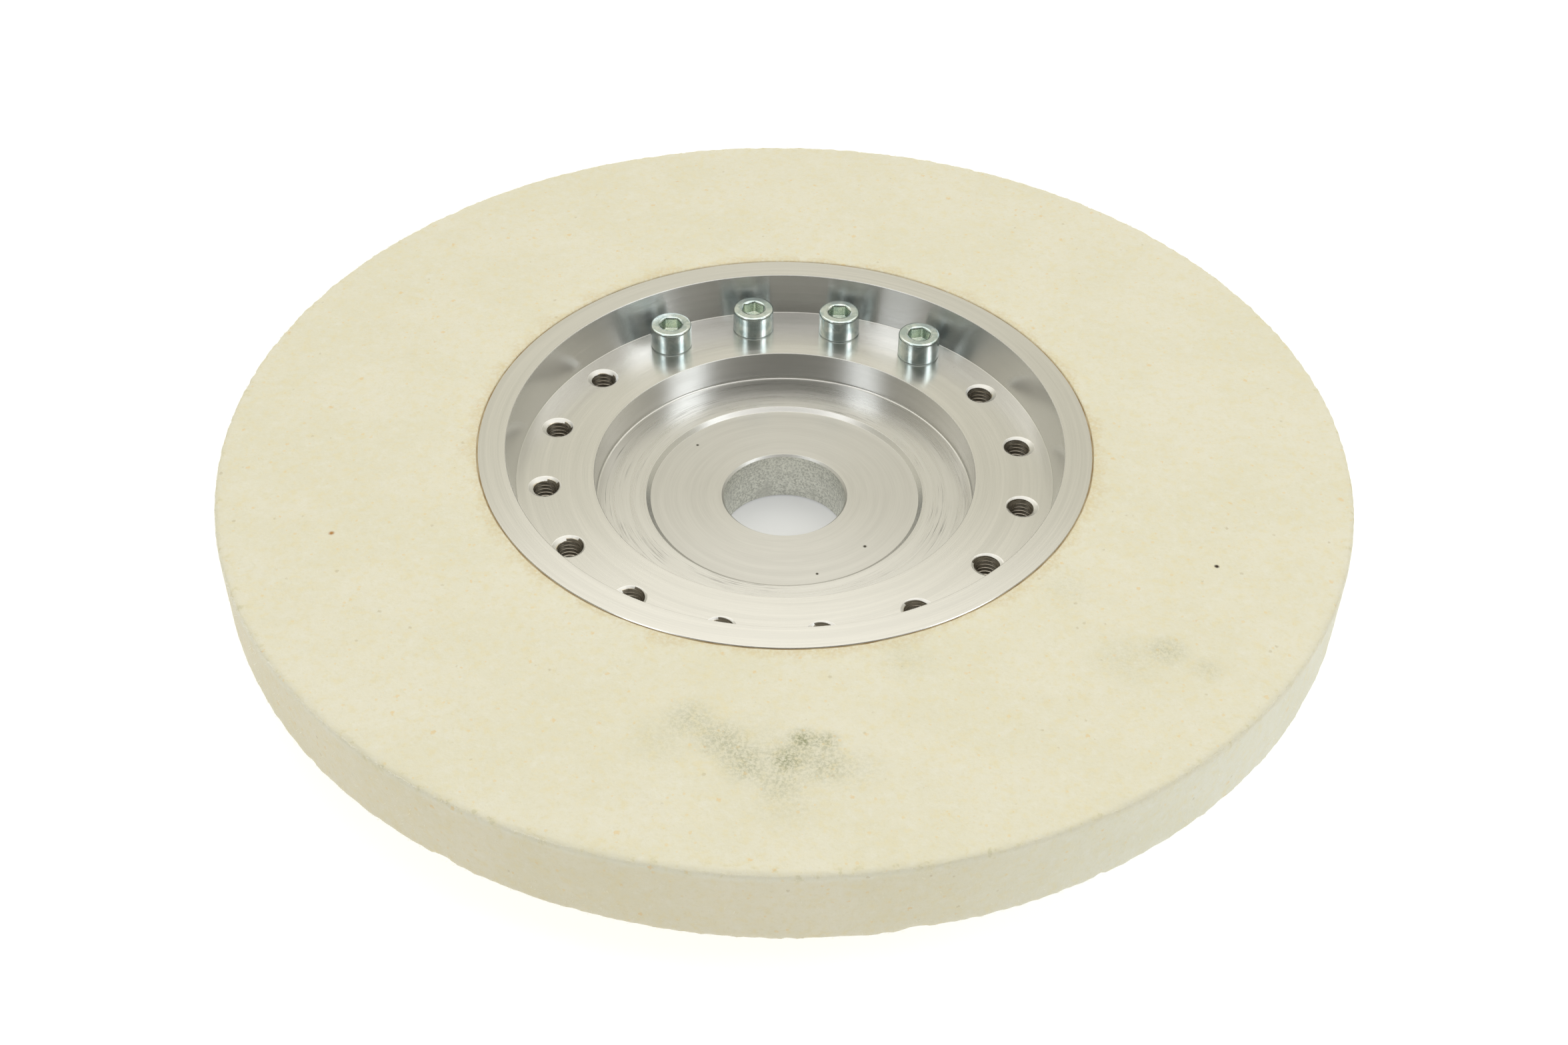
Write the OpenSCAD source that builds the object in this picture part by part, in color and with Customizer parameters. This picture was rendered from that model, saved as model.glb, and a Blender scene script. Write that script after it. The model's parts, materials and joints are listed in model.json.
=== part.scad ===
// Felt polishing wheel: a dense felt ring bonded round a turned aluminium hub.
// The wheel lies on its rear boss. +Z runs along its axis towards the recessed front face,
// and the origin is the centre of the boss's rear face. All sizes are in millimetres.

/* [Felt ring] */
// Outer diameter of the felt
felt_d = 250; // [200:1:300]
// Thickness of the felt, which is also the thickness of the hub's flange
felt_t = 18.5; // [17:0.5:20]
// Rounding of the felt's outer edges
felt_edge_r = 0.8; // [0.2:0.1:2]
// Thickness of the adhesive between the felt and the hub
bond_t = 0.3; // [0.1:0.1:1]
// Depth of the adhesive below the faces it lies between
bond_recess = 0.3; // [0.1:0.1:1]

/* [Hub] */
// Outer diameter of the hub, inside the felt
hub_d = 137; // [134:1:150]
// Height of the whole hub, from the boss's rear face to the rim
hub_h = 31; // [29:0.5:36]
// Diameter of the rear boss
boss_d = 96; // [80:1:96]
// Diameter of the spindle bore
bore_d = 28; // [16:1:32]
// Chamfer at both ends of the spindle bore
bore_chamfer = 0.5; // [0.2:0.1:1]
// Width of the small chamfer on the hub's other edges
edge_chamfer = 0.15; // [0.1:0.05:0.5]

/* [Front recess] */
// Inner diameter of the rim at the front face
rim_inner_d = 124.8; // [123:0.2:127]
// Depth of the ledge below the front face
ledge_depth = 10; // [8:0.5:11]
// Diameter of the tapered wall at the ledge
ledge_outer_d = 121.6; // [120:0.2:122]
// Diameter of the ledge's inner edge
ledge_inner_d = 86.5; // [80:0.5:92]
// Depth of the inner floor below the front face
floor_depth = 17.5; // [15:0.5:18]
// Radius of the fillet where the inner wall meets the floor
floor_fillet = 0.5; // [0.2:0.1:1]
// Depth of the centre disc below the front face
disc_depth = 18.3; // [18.1:0.1:19]
// Diameter of the step round the centre disc, at the inner floor
disc_step_d = 63.6; // [50:0.2:70]
// Diameter of the centre disc
disc_d = 61.6; // [48:0.2:66]

/* [Tapped holes] */
// Number of tapped holes round the ledge
hole_count = 16; // [8:1:20]
// Diameter of the circle through the tapped holes
hole_circle_d = 109; // [106:0.5:110]
// Diameter of a hole at the crests of its thread
hole_d = 5; // [4:0.1:5]
// Diameter of the countersink at each end of a hole
hole_sink_d = 7.3; // [6:0.1:8]
// Full angle of the countersink's cone, in degrees
hole_sink_angle = 120; // [90:1:120]

/* [Balance screws] */
// Number of the hole that the first screw is in: hole 0 is the first one anticlockwise from +X
screw_first_hole = 2; // [0:1:12]
// Diameter of the screw head
head_d = 10; // [8:0.5:10]
// Height of the screw head
head_h = 6; // [5:0.5:7]
// Rounding of the head's top edge
head_edge_r = 0.6; // [0.2:0.1:1]
// Size of the hex socket across its flats
socket_af = 5; // [3:0.5:5]
// Depth of the hex socket
socket_depth = 3; // [2:0.5:4]
// Length of the shank under the head
shank_l = 8; // [5:0.5:8]
// Radial clearance between the shank and its hole
shank_clearance = 0.05; // [0.02:0.01:0.1]

/* [Hidden] */
$fn = 96;

// Heights above the boss's rear face
flange_z = hub_h - felt_t;
ledge_z = hub_h - ledge_depth;
floor_z = hub_h - floor_depth;
disc_z = hub_h - disc_depth;

hole_pitch_angle = 360 / hole_count;
// The +X axis runs midway between two holes, so that the ring is symmetric about X and Y
hole_start_angle = hole_pitch_angle / 2;
// Length that a cut runs past the faces it opens
overcut = 1;
sink_slope = tan(90 - hole_sink_angle / 2);
sink_depth = (hole_sink_d - hole_d) / 2 * sink_slope;
// How much wider a countersink's cone is at the end of its overcut
sink_overcut_r = overcut / sink_slope;
shank_r = hole_d / 2 - shank_clearance;
// Turn of each screw's hex socket from its hole's radius, as the screws happened to come tight
socket_angles = [18, 44, 46, 59];
arc_steps = 6;

// Points of a quarter arc round c, with the radius r, from one angle to another
function arc(c, r, from, to) = [
    for (i = [0:arc_steps])
        let (a = from + (to - from) * i / arc_steps)
        [c.x + r * cos(a), c.y + r * sin(a)]
];

// Half section of the hub, as [radius, height] points, anticlockwise from the bore's rear end
hub_section = concat(
    [
        [bore_d / 2 + bore_chamfer, 0],
        [boss_d / 2 - edge_chamfer, 0],
        [boss_d / 2, edge_chamfer],
        [boss_d / 2, flange_z],
        [hub_d / 2 - edge_chamfer, flange_z],
        [hub_d / 2, flange_z + edge_chamfer],
        [hub_d / 2, hub_h - edge_chamfer],
        [hub_d / 2 - edge_chamfer, hub_h],
        [rim_inner_d / 2 + edge_chamfer, hub_h],
        [rim_inner_d / 2, hub_h - edge_chamfer],
        [ledge_outer_d / 2, ledge_z],
        [ledge_inner_d / 2 + edge_chamfer, ledge_z],
        [ledge_inner_d / 2, ledge_z - edge_chamfer]
    ],
    arc([ledge_inner_d / 2 - floor_fillet, floor_z + floor_fillet], floor_fillet, 0, -90),
    [
        [disc_step_d / 2, floor_z],
        [disc_d / 2, disc_z],
        [bore_d / 2 + bore_chamfer, disc_z],
        [bore_d / 2, disc_z - bore_chamfer],
        [bore_d / 2, bore_chamfer]
    ]
);

// Puts its children at the tapped hole with this number, at the height of the ledge
module at_hole(number) {
    rotate([0, 0, hole_start_angle + number * hole_pitch_angle])
        translate([hole_circle_d / 2, 0, ledge_z])
            children();
}

// One hole through the flange, with a countersink at each end, down from the ledge
module hole_cut() {
    flange_under_ledge = ledge_z - flange_z;
    translate([0, 0, -flange_under_ledge - overcut])
        cylinder(d = hole_d, h = flange_under_ledge + 2 * overcut);
    translate([0, 0, -sink_depth])
        cylinder(d1 = hole_d, d2 = hole_sink_d + 2 * sink_overcut_r, h = sink_depth + overcut);
    translate([0, 0, -flange_under_ledge - overcut])
        cylinder(d1 = hole_sink_d + 2 * sink_overcut_r, d2 = hole_d, h = sink_depth + overcut);
}

module hub() {
    color("silver")
        difference() {
            rotate_extrude() polygon(hub_section);
            for (number = [0:hole_count - 1])
                at_hole(number) hole_cut();
        }
}

// A tube of adhesive between the hub's outer wall and the felt's bore
module bond_line() {
    color("peru")
        translate([0, 0, flange_z + bond_recess])
            difference() {
                cylinder(d = hub_d + 2 * bond_t, h = felt_t - 2 * bond_recess);
                translate([0, 0, -overcut])
                    cylinder(d = hub_d, h = felt_t + 2 * overcut);
            }
}

module felt_ring() {
    felt_r = felt_d / 2;
    inner_r = hub_d / 2 + bond_t;
    color("cornsilk")
        translate([0, 0, flange_z])
            rotate_extrude()
                polygon(concat(
                    [[inner_r, 0]],
                    arc([felt_r - felt_edge_r, felt_edge_r], felt_edge_r, -90, 0),
                    arc([felt_r - felt_edge_r, felt_t - felt_edge_r], felt_edge_r, 0, 90),
                    [[inner_r, felt_t]]
                ));
}

// One socket head cap screw, whose head rests on the ledge
module balance_screw(number) {
    head_section = concat(
        [[0, -shank_l], [shank_r - edge_chamfer, -shank_l], [shank_r, edge_chamfer - shank_l]],
        [[shank_r, 0], [head_d / 2 - edge_chamfer, 0], [head_d / 2, edge_chamfer]],
        arc([head_d / 2 - head_edge_r, head_h - head_edge_r], head_edge_r, 0, 90),
        [[0, head_h]]
    );
    socket_r = socket_af / 2 / cos(30);
    color("lightsteelblue")
        at_hole(screw_first_hole + number - 1)
            difference() {
                rotate_extrude() polygon(head_section);
                rotate([0, 0, socket_angles[number - 1]])
                    translate([0, 0, head_h - socket_depth])
                        cylinder(r = socket_r, h = socket_depth + overcut, $fn = 6);
                translate([0, 0, head_h - overcut / 4])
                    cylinder(r1 = socket_af / 2, r2 = socket_r + overcut / 4, h = overcut / 2);
            }
}

module balance_screw_1() { balance_screw(1); }
module balance_screw_2() { balance_screw(2); }
module balance_screw_3() { balance_screw(3); }
module balance_screw_4() { balance_screw(4); }

hub();
bond_line();
felt_ring();
balance_screw_1();
balance_screw_2();
balance_screw_3();
balance_screw_4();
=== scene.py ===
"""The looks of a felt polishing wheel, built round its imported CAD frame.

Shapes are worked out in millimetres and written to Blender in metres. The wheel's axis is Z, its
rear boss stands on the floor at Z = 0, and the recessed front face looks up.
"""

import json
import math

import bmesh
import bpy
import numpy as np
from mathutils import Matrix, Vector, noise


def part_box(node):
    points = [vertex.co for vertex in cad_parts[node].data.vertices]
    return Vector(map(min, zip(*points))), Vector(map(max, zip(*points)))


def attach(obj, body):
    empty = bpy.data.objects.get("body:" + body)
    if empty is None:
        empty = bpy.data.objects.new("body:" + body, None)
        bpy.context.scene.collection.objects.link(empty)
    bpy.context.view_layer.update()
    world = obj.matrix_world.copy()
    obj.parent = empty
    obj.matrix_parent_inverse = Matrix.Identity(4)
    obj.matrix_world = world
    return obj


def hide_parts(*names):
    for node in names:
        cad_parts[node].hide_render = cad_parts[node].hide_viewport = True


MM = 0.001
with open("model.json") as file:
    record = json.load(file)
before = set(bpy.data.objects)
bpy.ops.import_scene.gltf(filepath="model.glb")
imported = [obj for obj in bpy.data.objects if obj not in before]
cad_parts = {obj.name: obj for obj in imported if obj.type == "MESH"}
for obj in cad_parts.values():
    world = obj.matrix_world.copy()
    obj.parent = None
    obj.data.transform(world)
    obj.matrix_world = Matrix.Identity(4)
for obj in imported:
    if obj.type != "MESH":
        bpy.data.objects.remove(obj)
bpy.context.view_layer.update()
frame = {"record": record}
mounts = {mount["name"]: mount for mount in frame["record"]["mounts"]}


def box_mm(node):
    """Lowest and highest corner of a CAD node, in millimetres."""
    return [np.array(corner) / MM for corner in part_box(node)]


# Sizes that the CAD frame gives
HUB_R, _, HUB_TOP = box_mm("hub")[1]
FELT_R, _, FELT_TOP = box_mm("felt_ring")[1]
FLANGE_Z = box_mm("felt_ring")[0][2]
FELT_BORE_R = box_mm("bond_line")[1][0]
BOND_LOW_Z, BOND_TOP_Z = box_mm("bond_line")[0][2], box_mm("bond_line")[1][2]
BORE_R = mounts["spindle_bore"]["dims"]["r_mm"]
CREST_R = mounts["balance_holes_sides"]["dims"]["hole_r_mm"]
DISC_Z = mounts["clamp_seat"]["pos_m"][2] / MM
SCREWS = ["balance_screw_1", "balance_screw_2", "balance_screw_3", "balance_screw_4"]
SCREW_LOW, SCREW_HIGH = box_mm(SCREWS[0])
HEAD_R = (SCREW_HIGH[0] - SCREW_LOW[0]) / 2
HOLE_CIRCLE_R = math.hypot(*((SCREW_LOW + SCREW_HIGH) / 2)[:2])

# Sizes of the hub's section that only the CAD source names
BOSS_R = 48.0
RIM_INNER_R = 62.4
LEDGE_OUTER_R = 60.8
LEDGE_INNER_R = 43.25
FLOOR_Z = 13.5
DISC_STEP_R = 31.8
DISC_R = 30.8
EDGE_CHAMFER = 0.15
BORE_CHAMFER = 0.5
SINK_R = 3.65
SINK_SLOPE = math.tan(math.radians(30))
# Width of the flat lip round each countersink
SINK_LIP = 0.05

# Screws and their threads
HEAD_H = 6.0
HEAD_EDGE_R = 0.6
LEDGE_Z = SCREW_HIGH[2] - HEAD_H
SCREW_TIP_Z = SCREW_LOW[2]
SOCKET_APOTHEM = 2.5
SOCKET_DEPTH = 3.0
SOCKET_ANGLES = [18, 44, 46, 59]
# The chamfer that leads into the socket: its outer radius, and its fall for each mm inwards
SOCKET_CHAMFER_R = 2.98
SOCKET_CHAMFER_SLOPE = 0.58
PITCH = 1.0
THREAD_DEPTH = 0.5
THREAD_CLEARANCE = 0.06

# Divisions round the wheel and round a hole. A sector is the part of a ring round one hole.
HOLE_COUNT = 16
SECTOR = 2 * math.pi / HOLE_COUNT
SECTOR_COLUMNS = 16
SECTOR_ROWS = 8
WHEEL_COLUMNS = HOLE_COUNT * SECTOR_COLUMNS
HOLE_COLUMNS = 2 * (SECTOR_COLUMNS + SECTOR_ROWS)
FELT_COLUMNS = 800
BOND_COLUMNS = 512


# ---------------------------------------------------------------- mesh code


class Surface:
    """Collects quads in millimetres, and makes one closed mesh of them."""

    def __init__(self):
        self.points, self.faces, self.slots, self.count = [], [], [], 0

    def grid(self, rows, slots, closed=False):
        """Quads between neighbouring rows. slots is one material number, or has one for each pair
        of rows: a number, a list with one for each quad, or None for a pair that is left open.
        closed joins the last column to the first."""
        rows = np.asarray(rows, float)
        height, width = rows.shape[:2]
        number = self.count + np.arange(height * width).reshape(height, width)
        beside = np.roll(number, -1, axis=1)
        last = width if closed else width - 1
        for row in range(height - 1):
            slot = slots[row] if isinstance(slots, list) else slots
            if slot is None:
                continue
            quads = np.stack(
                [number[row], beside[row], beside[row + 1], number[row + 1]], axis=1
            )[:last]
            self.faces.extend(quads.tolist())
            self.slots.extend(slot if isinstance(slot, list) else [slot] * last)
        self.points.extend(rows.reshape(-1, 3).tolist())
        self.count += height * width

    def build(self, name, materials, body, replaced=None, smooth=True):
        """Makes the piece, which rides on a body and stands for the CAD node it replaces."""
        mesh = bpy.data.meshes.new(name)
        mesh.from_pydata((np.array(self.points) * MM).tolist(), [], self.faces)
        mesh.polygons.foreach_set("material_index", self.slots)
        shape = bmesh.new()
        shape.from_mesh(mesh)
        bmesh.ops.remove_doubles(shape, verts=shape.verts, dist=0.002 * MM)
        bmesh.ops.recalc_face_normals(shape, faces=shape.faces)
        shape.to_mesh(mesh)
        shape.free()
        if smooth:
            mesh.shade_smooth()
        for material in materials:
            mesh.materials.append(material)
        piece = bpy.data.objects.new(name, mesh)
        bpy.context.collection.objects.link(piece)
        if replaced:
            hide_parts(replaced)
        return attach(piece, body)


def rounded_section(corners, steps=4, support=0.12):
    """A closed section with rounded corners, from a list of (r, z, rounding, material number of
    the span that follows). A support point next to each rounding keeps the flats shading flat.
    Gives the points and one material number for each step between them."""
    points, slots = [], []
    for index, (r, z, rounding, slot) in enumerate(corners):
        corner = np.array([r, z])
        before = np.array(corners[index - 1][:2])
        after = np.array(corners[(index + 1) % len(corners)][:2])
        span_in, span_out = np.linalg.norm(corner - before), np.linalg.norm(after - corner)
        into, away = (corner - before) / span_in, (after - corner) / span_out
        turn = math.acos(max(-1.0, min(1.0, float(into @ away))))
        reach = rounding * math.tan(turn / 2)
        start, end = corner - into * reach, corner + away * reach
        points.append(start - into * min(support, 0.25 * span_in))
        slots.append(corners[index - 1][3])
        for step in range(steps + 1):
            t = step / steps
            points.append((1 - t) ** 2 * start + 2 * t * (1 - t) * corner + t**2 * end)
            slots.append(slot)
        points.append(end + away * min(support, 0.25 * span_out))
        slots.append(slot)
    points.append(points[0])
    return points, slots


def full_turn(columns):
    """Evenly spaced angles round a full turn."""
    return [2 * math.pi * column / columns for column in range(columns)]


def lathe(section, columns):
    """The rows of a surface that [r, z] points sweep round the Z axis."""
    angles = full_turn(columns)
    return [[(r * math.cos(a), r * math.sin(a), z) for a in angles] for r, z in section]


def subdivided(section, slots, longest):
    """The same section with no step longer than longest, which may depend on the step's middle."""
    points, finer = [section[0]], []
    for start, end, slot in zip(section[:-1], section[1:], slots, strict=True):
        start, end = np.array(start), np.array(end)
        parts = max(1, math.ceil(np.linalg.norm(end - start) / longest((start + end) / 2)))
        for part in range(1, parts + 1):
            points.append(start + (end - start) * part / parts)
            finer.append(slot)
    return points, finer


# ---------------------------------------------------------------- tapped holes and threads

HOLE_TURNS = full_turn(HOLE_COLUMNS)


def hole_angle(number):
    """Hole 0 is half a sector from the X axis."""
    return (number + 0.5) * SECTOR


def at_hole(angle, r, turn, z):
    """A point at a radius and a turn round a hole's own axis."""
    return (
        HOLE_CIRCLE_R * math.cos(angle) + r * math.cos(angle + turn),
        HOLE_CIRCLE_R * math.sin(angle) + r * math.sin(angle + turn),
        z,
    )


def sector_outline(angle, inner_r, outer_r):
    """[x, y] points round the sector of a ring, from the middle of its outer arc, anticlockwise."""
    half = SECTOR_COLUMNS // 2
    step = SECTOR / SECTOR_COLUMNS
    polar = [(outer_r, step * k) for k in range(half)]
    inwards = [outer_r + (inner_r - outer_r) * k / SECTOR_ROWS for k in range(SECTOR_ROWS)]
    polar += [(r, SECTOR / 2) for r in inwards]
    polar += [(inner_r, SECTOR / 2 - step * k) for k in range(SECTOR_COLUMNS)]
    outwards = [inner_r + (outer_r - inner_r) * k / SECTOR_ROWS for k in range(SECTOR_ROWS)]
    polar += [(r, -SECTOR / 2) for r in outwards]
    polar += [(outer_r, step * (k - half)) for k in range(half)]
    return [(r * math.cos(angle + turn), r * math.sin(angle + turn)) for r, turn in polar]


def add_holed_ring(surface, z, inner_r, outer_r, slot):
    """A flat ring with an opening round each tapped hole."""
    for number in range(HOLE_COUNT):
        angle = hole_angle(number)
        rim = np.array([at_hole(angle, SINK_R + SINK_LIP, turn, z)[:2] for turn in HOLE_TURNS])
        outline = np.array(sector_outline(angle, inner_r, outer_r))
        rows = [
            [(x, y, z) for x, y in rim + (outline - rim) * share]
            for share in (0, 0.05, 0.25, 0.5, 0.75, 1)
        ]
        surface.grid(rows, slot, closed=True)


# Phases of a thread's rows within one pitch, each with the share of the thread's depth there, and
# whether the row starts a flat: a crest or a root. The flats get a bright copy of the metal, a
# painted highlight, and the flanks between them a dark copy, painted shade
THREAD_ROWS = [
    (0.0, 1.0, True),
    (0.07, 0.98, False),
    (0.34, 0.05, False),
    (0.4, 0.0, True),
    (0.6, 0.0, False),
    (0.66, 0.05, False),
    (0.93, 0.98, True),
]


def thread_rows(angle, low_z, high_z, limited, inset):
    """Rows that follow a right-handed thread between two heights, whether each starts a flat, and
    which of its points lie on the chamfers at the thread's ends, where limited(r, z) moves them."""
    rows, flats, chamfered = [], [], []
    first_turn = math.floor(low_z / PITCH)
    for turn in range(first_turn, math.ceil(high_z / PITCH) + 1):
        for phase, depth, flat in THREAD_ROWS:
            row, moved = [], []
            for column in range(HOLE_COLUMNS + 1):
                share = column / HOLE_COLUMNS
                z = PITCH * (turn + phase + share - 1)
                z = min(max(z, low_z), high_z)
                free_r = CREST_R + THREAD_DEPTH * depth - inset
                r = limited(free_r, z)
                row.append(at_hole(angle, r, 2 * math.pi * share, z))
                moved.append(r != free_r)
            rows.append(row)
            flats.append(flat)
            chamfered.append(moved)
    return rows, flats, chamfered


# ---------------------------------------------------------------- the hub

# Material numbers. The thread's flanks carry painted shade and its crests and roots a painted
# highlight
FACED, DISC, TAPER, WALL, FLOOR, BORE, EDGE, SHADED_THREAD_FLANK, LIT_THREAD_FLAT = range(9)


def hub_section():
    """The hub's section, anticlockwise from the rear end of the bore. The two spans marked None
    are the rings that carry the tapped holes."""
    edge, fine = EDGE_CHAMFER, 0.05
    return [
        (BORE_R + BORE_CHAMFER, 0, fine, FACED),
        (BOSS_R - edge, 0, fine, EDGE),
        (BOSS_R, edge, fine, WALL),
        (BOSS_R, FLANGE_Z, 0.3, None),
        (HUB_R - edge, FLANGE_Z, fine, EDGE),
        (HUB_R, FLANGE_Z + edge, fine, WALL),
        (HUB_R, HUB_TOP - edge, fine, FACED),
        (HUB_R - edge, HUB_TOP, fine, FACED),
        (RIM_INNER_R + edge, HUB_TOP, fine, EDGE),
        (RIM_INNER_R, HUB_TOP - edge, fine, TAPER),
        (LEDGE_OUTER_R, LEDGE_Z, 0.15, None),
        (LEDGE_INNER_R + edge, LEDGE_Z, fine, EDGE),
        (LEDGE_INNER_R, LEDGE_Z - edge, fine, WALL),
        (LEDGE_INNER_R, FLOOR_Z, 0.5, FLOOR),
        (DISC_STEP_R, FLOOR_Z, fine, WALL),
        (DISC_R, DISC_Z, fine, DISC),
        (BORE_R + BORE_CHAMFER, DISC_Z, fine, EDGE),
        (BORE_R, DISC_Z - BORE_CHAMFER, fine, BORE),
        (BORE_R, BORE_CHAMFER, fine, EDGE),
    ]


def sunk(r, z):
    """The radius of a tapped hole, opened by the countersinks at its ends."""
    return max(r, SINK_R - min(LEDGE_Z - z, z - FLANGE_Z) / SINK_SLOPE)


def build_hub(materials):
    """The turned hub: a lathed section, two rings with holes in them, and sixteen threads."""
    surface = Surface()
    points, slots = rounded_section(hub_section())
    surface.grid(lathe(points, WHEEL_COLUMNS), slots, closed=True)
    for start, end, slot in zip(points[:-1], points[1:], slots, strict=True):
        if slot is not None:
            continue
        width, height = np.abs(end - start)
        if width > 2 * SINK_R and height < 1e-6:
            add_holed_ring(surface, start[1], *sorted((start[0], end[0])), FACED)
        else:
            surface.grid(lathe([start, end], WHEEL_COLUMNS), FACED, closed=True)
    for number in range(HOLE_COUNT):
        angle = hole_angle(number)
        rows, flats, chamfered = thread_rows(angle, FLANGE_Z, LEDGE_Z, sunk, 0)
        finishes = []
        for lower, upper, flat in zip(chamfered[:-1], chamfered[1:], flats[:-1], strict=True):
            # Painted highlight on the crests and roots, painted shade on the flanks
            cut = LIT_THREAD_FLAT if flat else SHADED_THREAD_FLANK
            sinks = zip(lower[:-1], lower[1:], upper[:-1], upper[1:], strict=True)
            finishes.append([EDGE if all(corners) else cut for corners in sinks])
        surface.grid(rows, finishes)
        for z in (FLANGE_Z, LEDGE_Z):
            radii = (SINK_R, SINK_R + SINK_LIP)
            lip = [[at_hole(angle, r, turn, z) for turn in HOLE_TURNS] for r in radii]
            surface.grid(lip, EDGE, closed=True)
    return surface.build("turned_hub", materials, "wheel", "hub")


# ---------------------------------------------------------------- the balance screws

# Material numbers
PLATED, SOCKET = range(2)
# The shank under the head, where its thread runs out, and the chamfered tip
NECK_R = CREST_R - THREAD_CLEARANCE - 0.1
NECK_SLOPE = 0.8
TIP_R = 2.1


def hexagon_r(turn):
    """Radius of the socket's hexagon, with a corner at turn 0."""
    sixth = math.pi / 3
    return SOCKET_APOTHEM / math.cos(turn % sixth - sixth / 2)


def tipped(r, z):
    """The radius of a screw's shank, narrowed to the neck and to the chamfered tip."""
    return min(r, NECK_R + (LEDGE_Z - z) * NECK_SLOPE, TIP_R + (z - SCREW_TIP_Z))


def build_screw(number, name, materials):
    """A socket head cap screw: the threaded shank follows the thread of its hole."""
    surface = Surface()
    low, high = box_mm(name)
    middle = (low + high) / 2
    angle = math.atan2(middle[1], middle[0])
    rows, _, _ = thread_rows(angle, SCREW_TIP_Z, LEDGE_Z, tipped, THREAD_CLEARANCE)
    surface.grid(rows, PLATED)

    socket_turn = math.radians(SOCKET_ANGLES[number])
    column_turn = 2 * math.pi / HOLE_COLUMNS
    # The head's columns turn with the socket. Where they meet the shank's, they turn back by less
    # than half a column.
    twist = socket_turn - column_turn * round(socket_turn / column_turn)
    socket = [(hexagon_r(turn - socket_turn + twist), turn + twist) for turn in HOLE_TURNS]

    def ring(r, z, turned=twist):
        return [at_hole(angle, r, turn + turned, z) for turn in HOLE_TURNS]

    def hexagon(z, scale=1.0):
        return [at_hole(angle, scale * r, turn, z) for r, turn in socket]

    top = LEDGE_Z + HEAD_H
    corners = [
        (NECK_R + 0.3, LEDGE_Z + 0.01, 0.05, PLATED),
        (HEAD_R - 0.35, LEDGE_Z + 0.01, 0.05, PLATED),
        (HEAD_R, LEDGE_Z + 0.3, 0.15, PLATED),
        (HEAD_R, top, HEAD_EDGE_R, PLATED),
        (3.1, top, 0.02, PLATED),
    ]
    points, _ = rounded_section(corners)
    # The head is the part of the section from past its first corner to its last corner's rounding
    per_corner = len(points) // len(corners)
    outside = points[per_corner - 1 : len(corners) * per_corner - 1]
    head = [ring(NECK_R, LEDGE_Z, 0)] + [ring(r, z) for r, z in outside]
    surface.grid(head, PLATED, closed=True)

    scallop = [
        at_hole(angle, r, turn, top - SOCKET_CHAMFER_SLOPE * (SOCKET_CHAMFER_R - r))
        for r, turn in socket
    ]
    surface.grid([head[-1], ring(SOCKET_CHAMFER_R, top), scallop], PLATED, closed=True)
    floor = top - SOCKET_DEPTH
    inside = [scallop, hexagon(top - 0.6), hexagon(floor + 0.15), hexagon(floor, 0.97)]
    # The hollow that the drill's point left below the hexagon
    drilled = ((2.2, 0.02), (1.2, 0.5), (0.02, 1.1), (0, 1.1))
    inside += [ring(r, floor - depth) for r, depth in drilled]
    surface.grid(inside, SOCKET, closed=True)
    tip = [ring(r, SCREW_TIP_Z, 0) for r in (0, 1.0, TIP_R)]
    surface.grid(tip, PLATED, closed=True)
    return surface.build(f"cap_screw_{number + 1}", materials, name, name)


# ---------------------------------------------------------------- the felt and its adhesive


def wobble(point, size, seed=0.0):
    """Smooth noise from -1 to 1, with features of about size."""
    return noise.noise(Vector(point) / size + Vector((seed, seed, seed)))


# How far from its edges the felt is ragged
RAGGED_REACH = 1.6
# A place on the felt's lower edge where a piece has chipped out, how deep the chip is there, and
# how much shallower it gets for each mm away
CHIP = (30.5, -121.2, 12.5)
CHIP_DEPTH = 1.6
CHIP_SLOPE = 0.6


def felt_point(r, z, angle, away_r, away_z):
    """A point of the felt, raised or sunk along its section's normal by the felt's unevenness."""
    place = (r * math.cos(angle), r * math.sin(angle), z)
    swell = 0.09 * wobble(place, 9, 3) + 0.06 * wobble(place, 2.4, 7)
    edge_gap = max(abs(FELT_R - r), min(abs(FELT_TOP - z), abs(z - FLANGE_Z)))
    near_edge = max(0.0, 1 - edge_gap / RAGGED_REACH)
    swell += near_edge * (0.35 * wobble(place, 1.6, 11) + 0.12 * wobble(place, 4, 13) - 0.1)
    torn = wobble(place, 4.5, 19) - 0.45
    if z < FLANGE_Z + 4 and torn > 0:
        swell -= near_edge * min(0.9, 6 * torn)
    swell -= near_edge * max(0.0, CHIP_DEPTH - CHIP_SLOPE * math.dist(place, CHIP))
    r += away_r * swell
    return (r * math.cos(angle), r * math.sin(angle), z + away_z * swell)


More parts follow.
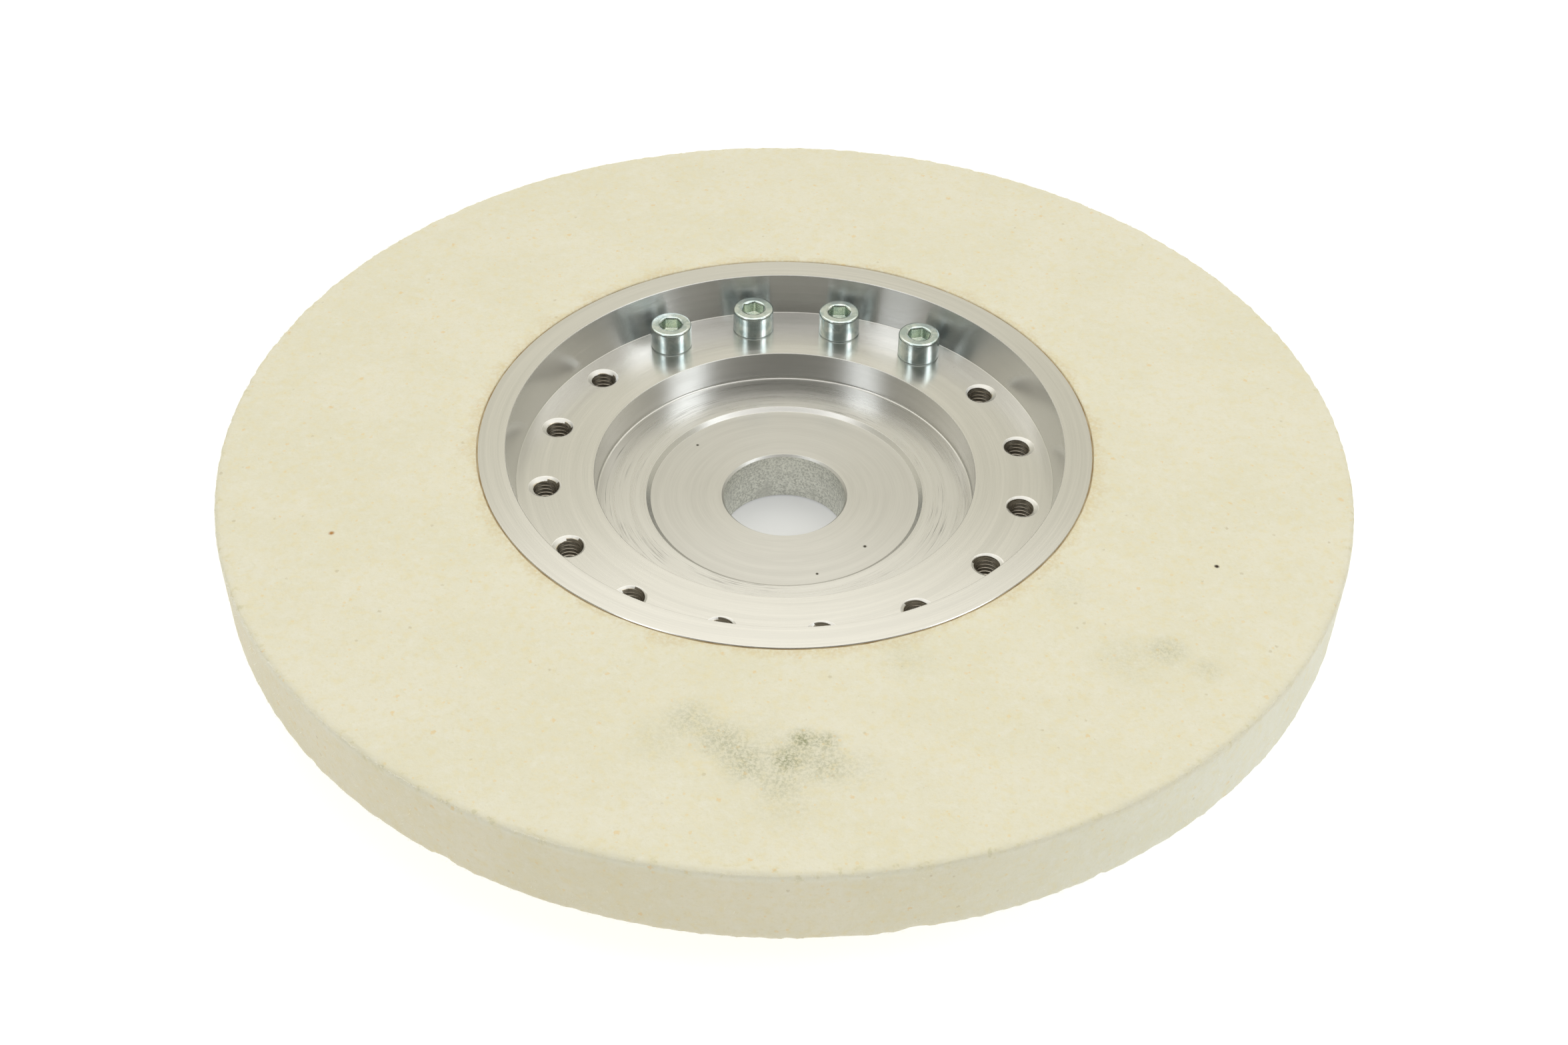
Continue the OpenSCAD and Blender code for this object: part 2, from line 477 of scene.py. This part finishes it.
def build_felt(material):
    """A dense felt ring: a lathed section with soft edges and an uneven, napped surface."""
    corners = [
        (FELT_BORE_R, FLANGE_Z, 0.3, 0),
        (FELT_R, FLANGE_Z, 1.1, 0),
        (FELT_R, FELT_TOP, 1.2, 0),
        (FELT_BORE_R, FELT_TOP, 0.35, 0),
    ]
    points, slots = rounded_section(corners, support=0.3)

    def longest(middle):
        """Steps are long in the hidden bore, shorter underneath, and short where the felt shows."""
        if middle[0] < FELT_BORE_R + 0.01:
            return 6.0
        return 1.9 if middle[1] < FLANGE_Z + 0.01 else 1.05

    points, slots = subdivided(points, slots, longest)
    points = np.array(points)
    # Each point moves along the section's normal there, and the bore stays where it is
    along = np.roll(points[:-1], -1, axis=0) - np.roll(points[:-1], 1, axis=0)
    along /= np.linalg.norm(along, axis=1, keepdims=True)
    away = np.stack([along[:, 1], -along[:, 0]], axis=1)
    away = np.vstack([away, away[:1]])
    away[points[:, 0] < FELT_BORE_R + 0.01] = 0
    angles = full_turn(FELT_COLUMNS)
    rows = [
        [felt_point(r, z, angle, away_r, away_z) for angle in angles]
        for (r, z), (away_r, away_z) in zip(points, away, strict=True)
    ]
    surface = Surface()
    surface.grid(rows, slots, closed=True)
    return surface.build("napped_felt", [material], "wheel", "felt_ring")


def fibre(surface, root, lean, length, thickness):
    """A thin fibre that bends over as it leaves the felt, pointed at both ends."""
    across = lean.cross(Vector((0.3, 0.5, 0.81))).normalized()
    beside = lean.cross(across).normalized()
    rows = []
    for share, width in ((-0.2, 0.0), (0.2, 1.0), (0.6, 0.8), (1.0, 0.0)):
        middle = root + lean * (length * share) + across * (0.35 * length * share * share)
        rows.append(
            [
                middle + (across * math.cos(turn) + beside * math.sin(turn)) * (thickness * width)
                for turn in (0, 2 * math.pi / 3, 4 * math.pi / 3)
            ]
        )
    surface.grid(rows, 0, closed=True)


def build_nap(material, count=9000, seed=5):
    """Loose fibres, along the felt's outer edges and on its side."""
    rng = np.random.default_rng(seed)
    surface = Surface()
    for _ in range(count):
        angle = rng.uniform(0, 2 * math.pi)
        outward = Vector((math.cos(angle), math.sin(angle), 0))
        along = Vector((-math.sin(angle), math.cos(angle), 0))
        where = rng.random()
        if where < 0.5:
            r, z, lift = FELT_R - 0.4, FELT_TOP - 0.4, rng.uniform(0.1, 1.3)
        elif where < 0.75:
            r, z, lift = FELT_R - 0.25, FLANGE_Z + 0.3, rng.uniform(-0.9, 0.2)
        else:
            r, z, lift = FELT_R - 0.1, rng.uniform(FLANGE_Z + 1, FELT_TOP - 1), rng.normal(0, 0.2)
        lean = outward * math.cos(lift) + Vector((0, 0, math.sin(lift)))
        lean = (lean + along * rng.normal(0, 0.9)).normalized()
        root = outward * r + Vector((0, 0, z))
        fibre(surface, root, lean, rng.uniform(0.35, 0.9), rng.uniform(0.015, 0.03))
    return surface.build("felt_nap", [material], "wheel", smooth=False)


def build_bond(material):
    """The bead of adhesive between the hub and the felt, with an uneven top and bottom."""
    rows = []
    for r, z, uneven in (
        (HUB_R, BOND_LOW_Z, 0.1),
        (FELT_BORE_R, BOND_LOW_Z, 0.1),
        (FELT_BORE_R, BOND_TOP_Z, 0.24),
        ((HUB_R + FELT_BORE_R) / 2, BOND_TOP_Z - 0.1, 0.12),
        (HUB_R, BOND_TOP_Z, 0.12),
        (HUB_R, BOND_LOW_Z, 0.1),
    ):
        row = []
        for angle in full_turn(BOND_COLUMNS):
            place = (r * math.cos(angle), r * math.sin(angle), 0)
            lift = uneven * (wobble(place, 3) + 0.6 * wobble(place, 17, 5))
            row.append((place[0], place[1], z + lift))
        rows.append(row)
    surface = Surface()
    surface.grid(rows, 0, closed=True)
    return surface.build("adhesive_bead", [material], "wheel", "bond_line")


# ---------------------------------------------------------------- materials


class Graph:
    """Short calls for a material's nodes. Places are in millimetres."""

    def __init__(self, name, **constants):
        self.material = bpy.data.materials.new(name)
        self.material.use_nodes = True
        self.tree = self.material.node_tree
        self.shader = self.tree.nodes["Principled BSDF"]
        for socket, value in constants.items():
            self.shader.inputs[socket.replace("_", " ")].default_value = value
        coordinates = self.node("TexCoord")
        self.place = self.vector("SCALE", coordinates.outputs["Object"], scale=1 / MM)

    def node(self, kind, **settings):
        made = self.tree.nodes.new("ShaderNode" + kind)
        for setting, value in settings.items():
            setattr(made, setting, value)
        return made

    def put(self, socket, value):
        if isinstance(value, bpy.types.NodeSocket):
            self.tree.links.new(value, socket)
        else:
            socket.default_value = value

    def math(self, operation, a, b=0.0, clamp=False):
        made = self.node("Math", operation=operation, use_clamp=clamp)
        self.put(made.inputs[0], a)
        self.put(made.inputs[1], b)
        return made.outputs[0]

    def vector(self, operation, a, b=(0.0, 0.0, 0.0), scale=1.0, output="Vector"):
        made = self.node("VectorMath", operation=operation)
        self.put(made.inputs[0], a)
        if operation == "SCALE":
            self.put(made.inputs["Scale"], scale)
        elif operation not in ("LENGTH", "NORMALIZE"):
            self.put(made.inputs[1], b)
        return made.outputs[output]

    def ramp(self, value, low, high, start=0.0, end=1.0):
        """Rises smoothly from start to end as value goes from low to high."""
        made = self.node("MapRange", interpolation_type="SMOOTHSTEP")
        for socket, number in zip(made.inputs, (value, low, high, start, end), strict=False):
            self.put(socket, number)
        return made.outputs[0]

    def noise(self, place, size, detail=3.0, roughness=0.55):
        made = self.node("TexNoise")
        self.put(made.inputs["Vector"], place)
        self.put(made.inputs["Scale"], 1 / size)
        self.put(made.inputs["Detail"], detail)
        self.put(made.inputs["Roughness"], roughness)
        return made.outputs["Fac"]

    def ragged(self, amount):
        """Places shifted at random by up to about half of amount, for uneven outlines."""
        made = self.node("TexNoise")
        self.put(made.inputs["Vector"], self.place)
        self.put(made.inputs["Scale"], 1 / amount)
        shift = self.vector("SUBTRACT", made.outputs["Color"], (0.5, 0.5, 0.5))
        return self.vector("ADD", self.place, self.vector("SCALE", shift, scale=2 * amount))

    def specks(self, size, share, largest=0.5, sharpness=0.2):
        """Small uneven specks: 1 inside them. share is the part of the cells that hold one, and
        largest is the radius of the largest, as a part of a cell's size."""
        cells = self.node("TexVoronoi")
        self.put(cells.inputs["Vector"], self.ragged(0.25 * size))
        self.put(cells.inputs["Scale"], 1 / size)
        picked = self.node("SeparateColor")
        self.put(picked.inputs[0], cells.outputs["Color"])
        chosen = self.math("LESS_THAN", picked.outputs[0], share)
        spread = self.math("MULTIPLY", picked.outputs[1], largest)
        near = self.ramp(cells.outputs["Distance"], spread, self.math("SUBTRACT", spread, sharpness))
        return self.math("MULTIPLY", chosen, near)

    def mix(self, factor, a, b, blend="MIX"):
        made = self.node("Mix", data_type="RGBA", blend_type=blend)
        self.put(made.inputs["Factor"], factor)
        self.put(made.inputs["A"], a)
        self.put(made.inputs["B"], b)
        return made.outputs["Result"]

    def axes(self):
        """The place's X, Y and Z."""
        parts = self.node("SeparateXYZ")
        self.put(parts.inputs[0], self.place)
        return parts.outputs

    def from_axis(self):
        """The place's horizontal vector from the wheel's axis, and the length of that vector."""
        flat = self.vector("MULTIPLY", self.place, (1.0, 1.0, 0.0))
        return flat, self.vector("LENGTH", flat, output="Value")

    def polar(self, wide, fine):
        """Places stretched round the axis: wide is about the length of a feature in radians, and
        fine is its width across the turning marks."""
        flat, radius = self.from_axis()
        direction = self.vector("SCALE", self.vector("NORMALIZE", flat), scale=1 / wide)
        along = self.math("DIVIDE", self.math("ADD", radius, self.axes()["Z"]), fine)
        lift = self.node("CombineXYZ")
        self.put(lift.inputs["Z"], along)
        return self.vector("ADD", direction, lift.outputs[0])

    def bump(self, height, distance, strength=1.0):
        made = self.node("Bump")
        self.put(made.inputs["Height"], height)
        self.put(made.inputs["Distance"], distance * MM)
        self.put(made.inputs["Strength"], strength)
        self.put(self.shader.inputs["Normal"], made.outputs[0])

    def finish(self, color, roughness):
        self.put(self.shader.inputs["Base Color"], color)
        self.put(self.shader.inputs["Roughness"], roughness)
        return self.material


def grey(level, warmth=0.0):
    """A nearly neutral colour, warmer above 0 and bluer below."""
    return (level * (1 + warmth), level, level * (1 - 1.6 * warmth), 1.0)


def turned_metal(name, level, warmth, roughness, stretch, rings, scuffs=0.0):
    """Turned aluminium: marks run round the axis, which spreads its reflections across them.
    rings is how uneven the marks are, and scuffs how much of the surface is dull and dirty."""
    graph = Graph(name, Metallic=1.0, Anisotropic=stretch, Anisotropic_Rotation=0.25)
    tangent = graph.node("Tangent", direction_type="RADIAL", axis="Z")
    graph.put(graph.shader.inputs["Tangent"], tangent.outputs[0])
    bands = graph.noise(graph.polar(1.5, 1.3), 1.0, 4.0, 0.6)
    lines = graph.noise(graph.polar(0.35, 0.16), 1.0, 2.0)
    cloud = graph.noise(graph.place, 22.0, 3.0)
    mark = graph.math("ADD", graph.math("MULTIPLY", bands, 0.6), graph.math("MULTIPLY", lines, 0.4))
    uneven = graph.math("MULTIPLY", graph.math("SUBTRACT", mark, 0.5), rings)
    rough = graph.math("ADD", uneven, roughness)
    rough = graph.math("ADD", rough, graph.math("MULTIPLY", graph.math("SUBTRACT", cloud, 0.5), 0.04))
    color = graph.mix(graph.ramp(mark, 0.35, 0.65), grey(level * 0.93, warmth), grey(level, warmth))
    if scuffs:
        arcs = graph.noise(graph.polar(0.4, 0.14), 1.0, 4.0, 0.7)
        patch = graph.noise(graph.polar(0.5, 3.0), 1.0, 2.0)
        worn = graph.math("MULTIPLY", graph.ramp(arcs, 0.52, 0.68), graph.ramp(patch, 0.42, 0.65))
        dirt = graph.math("MULTIPLY", worn, scuffs, clamp=True)
        color = graph.mix(dirt, color, grey(0.12, 0.04))
        rough = graph.math("ADD", rough, graph.math("MULTIPLY", dirt, 0.25))
    color = graph.mix(graph.specks(1.3, 0.01, 0.16, 0.08), color, grey(0.25, 0.05))
    color = graph.mix(patches(graph, PITS, DISC_Z), color, grey(0.08, 0.1))
    graph.bump(mark, 0.006 * rings / 0.1)
    return graph.finish(color, rough)


def bored_metal():
    """The bore's wall: dull and mottled where the spindle has rubbed it."""
    graph = Graph("bored_aluminium", Metallic=1.0)
    grain = graph.noise(graph.place, 0.55, 5.0, 0.7)
    cloud = graph.noise(graph.place, 5.0, 3.0)
    streak = graph.noise(graph.polar(0.5, 0.3), 1.0, 3.0)
    color = graph.mix(graph.ramp(grain, 0.35, 0.62), (0.46, 0.46, 0.41, 1), (0.84, 0.84, 0.77, 1))
    color = graph.mix(graph.ramp(cloud, 0.5, 0.72, 0.0, 0.6), color, (0.55, 0.55, 0.5, 1))
    color = graph.mix(graph.ramp(streak, 0.6, 0.75, 0.0, 0.8), color, (0.3, 0.3, 0.27, 1))
    graph.bump(grain, 0.05)
    return graph.finish(color, graph.ramp(grain, 0.3, 0.7, 0.3, 0.5))


def cut_edge(name, level, roughness, warmth=0.01):
    """A freshly cut edge, or a thread's flank or flat. For the thread, level paints shade on the
    flanks and a highlight on the flats.
    """
    graph = Graph(name, Metallic=1.0)
    grain = graph.noise(graph.place, 0.4, 3.0)
    color = graph.mix(grain, grey(level * 0.85, warmth), grey(level, warmth))
    graph.bump(grain, 0.01)
    return graph.finish(color, graph.ramp(grain, 0.2, 0.8, roughness * 0.8, roughness * 1.3))


def plated_steel(name, dark, light, roughness):
    """Bright zinc plate with a faint blue-green passivation that varies over the surface."""
    graph = Graph(name, Metallic=1.0)
    cloud = graph.noise(graph.place, 2.6, 3.0)
    grain = graph.noise(graph.place, 0.35, 4.0, 0.6)
    color = graph.mix(graph.ramp(cloud, 0.35, 0.65), dark, light)
    spots = graph.ramp(grain, 0.66, 0.8, 0.0, 0.25)
    color = graph.mix(spots, color, grey(0.3, -0.05))
    graph.bump(grain, 0.004)
    return graph.finish(color, graph.ramp(grain, 0.3, 0.75, roughness * 0.85, roughness * 1.3))


# Marks on the felt's face: x, y, radius and strength. The smudges are grey-green, and one speck is
# dark brown and the other orange.
SMUDGES = [
    (8.3, -92.2, 4, 0.75),
    (12.8, -92.3, 3.5, 0.55),
    (5.1, -97.6, 4.5, 0.6),
    (4.2, -103.5, 6, 0.3),
    (13.1, -98.8, 7, 0.25),
    (9.0, -97.0, 9, 0.3),
    (0.0, -95.0, 12, 0.15),
    (-13.4, -88.0, 7, 0.35),
    (-7.4, -93.4, 7, 0.45),
    (-2.3, -99.2, 7, 0.45),
    (-18.7, -94.1, 9, 0.15),
    (18.4, -99.2, 9, 0.15),
    (6.0, -108.0, 10, 0.15),
    (79.2, -64.2, 6, 0.32),
    (71.0, -67.3, 11, 0.13),
    (86.2, -69.1, 5, 0.2),
    (27.5, -70.0, 9, 0.12),
    (60.0, -47.0, 9, 0.12),
]
DARK_SPECK = [(91.7, -38.8, 0.75, 1.6)]
ORANGE_SPECK = [(-93.4, -40.3, 0.9, 1.2)]
# Pits in the centre disc, in the same form
PITS = [(18.9, -16.9, 0.6, 1.6), (8.6, -26.6, 0.5, 1.6), (-21.5, 16.5, 0.5, 1.6)]


def patches(graph, places, z):
    """Soft round patches at a height: x, y, radius and strength for each."""
    total = 0.0
    for x, y, reach, strength in places:
        distance = graph.vector("DISTANCE", graph.place, (x, y, z), output="Value")
        total = graph.math("ADD", total, graph.ramp(distance, reach, 0.0, 0.0, strength))
    return graph.math("MINIMUM", total, 1.0)


def shaded_side_and_worn_edge(graph, color, blotch, wool):
    """Paints shade on the felt's side, darker and warmer towards -X, and painted light towards +X,
    where it is lighter and cooler. Also dirties parts of its top edge."""
    axes = graph.axes()
    _, radius = graph.from_axis()
    side = graph.ramp(axes["Z"], FELT_TOP - 0.6, FELT_TOP - 2.5)
    # Painted shade and light on the side: darker and warmer towards -X, lighter and cooler towards +X
    side_light_drift = graph.math("ADD", axes["X"], graph.math("MULTIPLY", blotch, 40.0))
    tint = graph.mix(graph.ramp(side_light_drift, 20.0, 110.0), (0.96, 0.93, 0.87, 1), (1.01, 1.03, 1.05, 1))
    color = graph.mix(side, color, tint, "MULTIPLY")
    rim = graph.ramp(radius, FELT_R - 3, FELT_R - 0.5)
    top_edge = graph.math("MULTIPLY", rim, graph.math("SUBTRACT", 1.0, side))
    rubbed = graph.math("MULTIPLY", top_edge, graph.ramp(wool, 0.6, 0.72, 0.0, 0.3))
    return graph.mix(rubbed, color, (0.52, 0.53, 0.38, 1))


def marked_face(graph, color, grain):
    """Adds the stain that the adhesive left round the hub, the smudges and the two specks."""
    _, radius = graph.from_axis()
    spread = graph.noise(graph.place, 7.0, 4.0, 0.65)
    reach = graph.ramp(spread, 0.3, 0.75, FELT_BORE_R + 0.5, FELT_BORE_R + 7.0)
    near_hub = graph.ramp(radius, reach, FELT_BORE_R)
    stain = graph.math("MULTIPLY", near_hub, graph.ramp(grain, 0.3, 0.6))
    color = graph.mix(graph.math("MULTIPLY", stain, 0.5), color, (0.74, 0.6, 0.34, 1))
    gaps = graph.ramp(graph.noise(graph.place, 0.7, 4.0, 0.8), 0.4, 0.62, 0.25)
    smudges = graph.math("MULTIPLY", patches(graph, SMUDGES, FELT_TOP), gaps)
    color = graph.mix(smudges, color, (0.3, 0.31, 0.17, 1))
    color = graph.mix(patches(graph, DARK_SPECK, FELT_TOP), color, (0.06, 0.04, 0.03, 1))
    return graph.mix(patches(graph, ORANGE_SPECK, FELT_TOP), color, (0.5, 0.25, 0.08, 1))


def felt_material():
    """Dense cream wool felt, with tan and orange specks, smudges, and a stain round the hub."""
    graph = Graph("pressed_felt", Sheen_Weight=0.35, Sheen_Roughness=0.4, Specular_IOR_Level=0.12)
    blotch = graph.noise(graph.place, 26.0, 3.0)
    mottle = graph.noise(graph.place, 4.2, 4.0, 0.6)
    wool = graph.noise(graph.place, 1.9, 3.0, 0.6)
    grain = graph.noise(graph.place, 0.8, 5.0, 0.7)
    color = graph.mix(
        graph.ramp(blotch, 0.35, 0.65), (0.86, 0.825, 0.675, 1), (0.885, 0.85, 0.715, 1)
    )
    for pattern, low, high, weight, tint in (
        (mottle, 0.52, 0.75, 0.45, (0.87, 0.8, 0.57, 1)),
        (mottle, 0.48, 0.28, 0.35, (0.9, 0.875, 0.77, 1)),
        (wool, 0.5, 0.72, 0.5, (0.87, 0.79, 0.54, 1)),
        (wool, 0.46, 0.3, 0.4, (0.9, 0.88, 0.79, 1)),
        (grain, 0.5, 0.75, 0.55, (0.8, 0.75, 0.55, 1)),
    ):
        color = graph.mix(graph.ramp(pattern, low, high, 0.0, weight), color, tint)
    for size, share, largest, weight, tint in (
        (1.0, 0.1, 0.5, 0.4, (0.88, 0.68, 0.33, 1)),
        (2.2, 0.14, 0.36, 0.55, (0.87, 0.64, 0.3, 1)),
        (1.4, 0.03, 0.4, 0.45, (0.6, 0.52, 0.34, 1)),
        (5.0, 0.14, 0.15, 0.85, (0.8, 0.5, 0.18, 1)),
    ):
        mask = graph.math("MULTIPLY", graph.specks(size, share, largest), weight)
        color = graph.mix(mask, color, tint)
    # Painted shade and light on the felt's side, and dirt on parts of its top edge
    color = shaded_side_and_worn_edge(graph, color, blotch, wool)
    color = marked_face(graph, color, grain)
    nap = graph.noise(graph.vector("MULTIPLY", graph.place, (1.0, 1.0, 0.6)), 0.45, 4.0, 0.7)
    height = graph.math("ADD", grain, graph.math("MULTIPLY", nap, 0.5))
    graph.bump(height, 0.16, 0.8)
    return graph.finish(color, graph.ramp(grain, 0.3, 0.7, 0.86, 1.0))


def nap_material():
    """Loose wool fibres, a little paler than the felt. Light passes through them."""
    graph = Graph(
        "loose_wool",
        Specular_IOR_Level=0.15,
        Subsurface_Weight=1.0,
        Subsurface_Scale=0.5 * MM,
        Subsurface_Radius=(1.0, 0.9, 0.7),
    )
    tone = graph.noise(graph.place, 3.0, 2.0)
    color = graph.mix(tone, (0.8, 0.74, 0.56, 1), (0.92, 0.89, 0.78, 1))
    return graph.finish(color, 0.9)


def bond_material():
    """Cured amber resin, darker in places."""
    graph = Graph("amber_adhesive", Coat_Weight=0.3)
    cloud = graph.noise(graph.place, 6.0, 3.0)
    color = graph.mix(graph.ramp(cloud, 0.4, 0.7), (0.6, 0.47, 0.28, 1), (0.4, 0.25, 0.1, 1))
    graph.bump(graph.noise(graph.place, 1.2, 3.0), 0.05)
    return graph.finish(color, 0.4)


def floor_material():
    """A white table top with a painted glow, just enough to print white and to fill the wheel's
    shadow. The glow is weaker under the bore, where it paints shade.
    """
    graph = Graph("white_table", Specular_IOR_Level=0.2)
    cloud = graph.noise(graph.place, 300.0, 2.0)
    color = graph.mix(cloud, (0.56, 0.57, 0.58, 1), (0.6, 0.6, 0.6, 1))
    graph.shader.inputs["Emission Color"].default_value = (0.98, 0.99, 1.0, 1.0)
    radius = graph.vector("LENGTH", graph.place, output="Value")
    # Painted light: the glow washes out the wheel's shadow, and its weaker part under the bore paints
    # shade there
    shadow_filling_glow = graph.ramp(radius, BORE_R, BOSS_R, 0.26, 0.64)
    graph.put(graph.shader.inputs["Emission Strength"], shadow_filling_glow)
    return graph.finish(color, 0.6)


# ---------------------------------------------------------------- the studio

# The camera points at the middle of the hub's front face, and is then tilted and rolled a little.
# The distance is in metres and the angles are in degrees, with the azimuth measured from -Y.
CAMERA_DISTANCE = 0.43102
CAMERA_AZIMUTH = 2.45
CAMERA_ELEVATION = 38.58
CAMERA_TILT = -2.706
CAMERA_ROLL = 0.842
CAMERA_LENS = 44.07


def direction(azimuth, elevation):
    """A unit vector from the wheel. Azimuth 0 is towards -Y, and rises anticlockwise."""
    a, e = math.radians(azimuth), math.radians(elevation)
    return Vector((math.sin(a) * math.cos(e), -math.cos(a) * math.cos(e), math.sin(e)))


def add_camera():
    """The photograph's view of the wheel."""
    target = Vector((0, 0, HUB_TOP * MM))
    camera = bpy.data.objects.new("camera", bpy.data.cameras.new("camera"))
    bpy.context.collection.objects.link(camera)
    outward = direction(CAMERA_AZIMUTH, CAMERA_ELEVATION)
    look = (-outward).to_track_quat("-Z", "Y").to_matrix()
    tilt = Matrix.Rotation(math.radians(CAMERA_TILT), 3, "X")
    roll = Matrix.Rotation(math.radians(CAMERA_ROLL), 3, "Z")
    camera.matrix_world = Matrix.Translation(target + outward * CAMERA_DISTANCE) @ (
        look @ tilt @ roll
    ).to_4x4()
    camera.data.lens = CAMERA_LENS
    camera.data.clip_start = 0.01
    bpy.context.scene.camera = camera


def add_softbox(name, azimuth, elevation, distance, width, height, power, color):
    """An area light that faces the wheel. Angles are in degrees, lengths in metres, power in watts."""
    light = bpy.data.lights.new(name, "AREA")
    light.shape = "RECTANGLE"
    light.size, light.size_y = width, height
    light.energy = power
    light.color = color
    lamp = bpy.data.objects.new(name, light)
    bpy.context.collection.objects.link(lamp)
    outward = direction(azimuth, elevation)
    lamp.location = outward * distance
    lamp.rotation_euler = outward.to_track_quat("Z", "Y").to_euler()
    lamp.visible_camera = False


def add_world():
    """A plain pale studio: bright behind the wheel and at its left, darker on the camera's side."""
    world = bpy.data.worlds.new("studio")
    world.use_nodes = True
    bpy.context.scene.world = world
    tree = world.node_tree
    background = tree.nodes["Background"]
    coordinates = tree.nodes.new("ShaderNodeTexCoord")
    parts = tree.nodes.new("ShaderNodeSeparateXYZ")
    tree.links.new(coordinates.outputs["Generated"], parts.inputs[0])
    ramp = tree.nodes.new("ShaderNodeValToRGB")
    shift = tree.nodes.new("ShaderNodeMapRange")
    shift.inputs["From Min"].default_value = -1.0
    shift.inputs["From Max"].default_value = 1.0
    tree.links.new(parts.outputs["Y"], shift.inputs[0])
    tree.links.new(shift.outputs[0], ramp.inputs[0])
    tree.links.new(ramp.outputs[0], background.inputs["Color"])
    stops = ramp.color_ramp.elements
    stops[0].position, stops[0].color = 0.12, (0.145, 0.145, 0.12, 1)
    stops[1].position, stops[1].color = 0.66, (0.685, 0.66, 0.54, 1)
    across = tree.nodes.new("ShaderNodeMapRange")
    across.inputs["From Min"].default_value = -0.3
    across.inputs["From Max"].default_value = 0.3
    across.inputs["To Min"].default_value = 1.03
    across.inputs["To Max"].default_value = 0.93
    tree.links.new(parts.outputs["X"], across.inputs[0])
    tree.links.new(across.outputs[0], background.inputs["Strength"])


def add_floor():
    """A pale table, large enough to fill the view."""
    bpy.ops.mesh.primitive_grid_add(x_subdivisions=40, y_subdivisions=40, size=8)
    floor = bpy.context.active_object
    floor.name = "table_top"
    floor.data.materials.append(floor_material())


def light_the_scene():
    """Two small softboxes in front, at the left and the right, and a large one overhead."""
    add_softbox("left_softbox", -47.5, 40, 1.3, 0.35, 0.5, 1.15, (0.93, 0.98, 1.0))
    add_softbox("right_softbox", 67.5, 40, 1.3, 0.42, 0.5, 1.8, (0.93, 0.98, 1.0))
    add_softbox("overhead_softbox", 180, 84, 1.5, 2.2, 2.2, 13.0, (1.0, 0.99, 0.97))
    add_world()
    add_floor()
    bpy.context.scene.view_settings.view_transform = "Standard"


# ---------------------------------------------------------------- assembly

# In the order of the hub's material numbers
hub_finishes = [
    turned_metal("faced_aluminium", 0.8, 0.012, 0.25, 0.6, 0.06),
    turned_metal("disc_aluminium", 0.71, 0.012, 0.3, 0.4, 0.05),
    turned_metal("taper_aluminium", 0.77, 0.0, 0.25, 0.95, 0.02),
    turned_metal("wall_aluminium", 0.73, 0.004, 0.26, 0.5, 0.08),
    turned_metal("floor_aluminium", 0.77, 0.01, 0.28, 0.5, 0.16, scuffs=0.8),
    bored_metal(),
    cut_edge("edge_aluminium", 0.8, 0.4),
    # The thread's flanks are a dark copy of the metal, painted shade, and its crests and roots a
    # bright copy, a painted highlight
    cut_edge("thread_flank_aluminium", 0.17, 0.45, 0.12),
    cut_edge("thread_flat_aluminium", 0.88, 0.35, 0.1),
]
build_hub(hub_finishes)

screw_finishes = [
    plated_steel("zinc_plate", (0.55, 0.65, 0.66, 1), (0.76, 0.83, 0.82, 1), 0.18),
    plated_steel("zinc_socket", (0.52, 0.6, 0.56, 1), (0.72, 0.77, 0.68, 1), 0.26),
]
for number, name in enumerate(SCREWS):
    build_screw(number, name, screw_finishes)

build_felt(felt_material())
build_nap(nap_material())
build_bond(bond_material())

add_camera()
light_the_scene()
